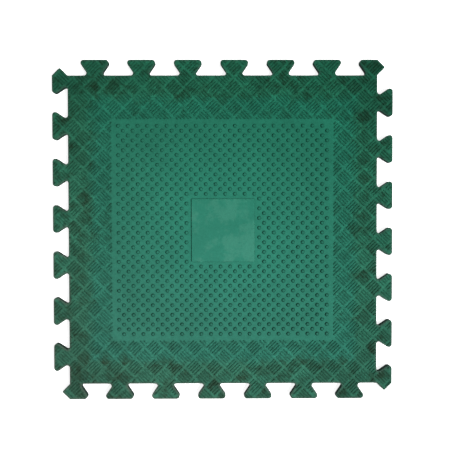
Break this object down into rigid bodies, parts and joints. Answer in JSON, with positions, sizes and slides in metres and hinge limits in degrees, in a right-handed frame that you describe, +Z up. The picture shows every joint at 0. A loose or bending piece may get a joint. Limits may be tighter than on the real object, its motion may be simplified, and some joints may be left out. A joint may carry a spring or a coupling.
{
  "type": "interlocking scraper mat",
  "caption": "Square foam rubber scraper mat with dovetail lugs on all sides, for scraping shoes; it joins to more mats of its kind and has a field of pimples round a raised square panel in the middle.",
  "frame": {"origin": "centre of the flat underside", "axes": "+Z up through the thickness, out of the patterned face; +Y to the far side of the mat and +X to its right, both square to the sides; the mat is the same after each quarter turn about +Z"},
  "size_m": [1.0474, 1.0474, 0.02],
  "materials": {
    "rubber": "matt moulded foam rubber, dark sea green"
  },
  "bodies": {
    "root": {"scraper_mat": "rubber"}
  },
  "joints": []
}
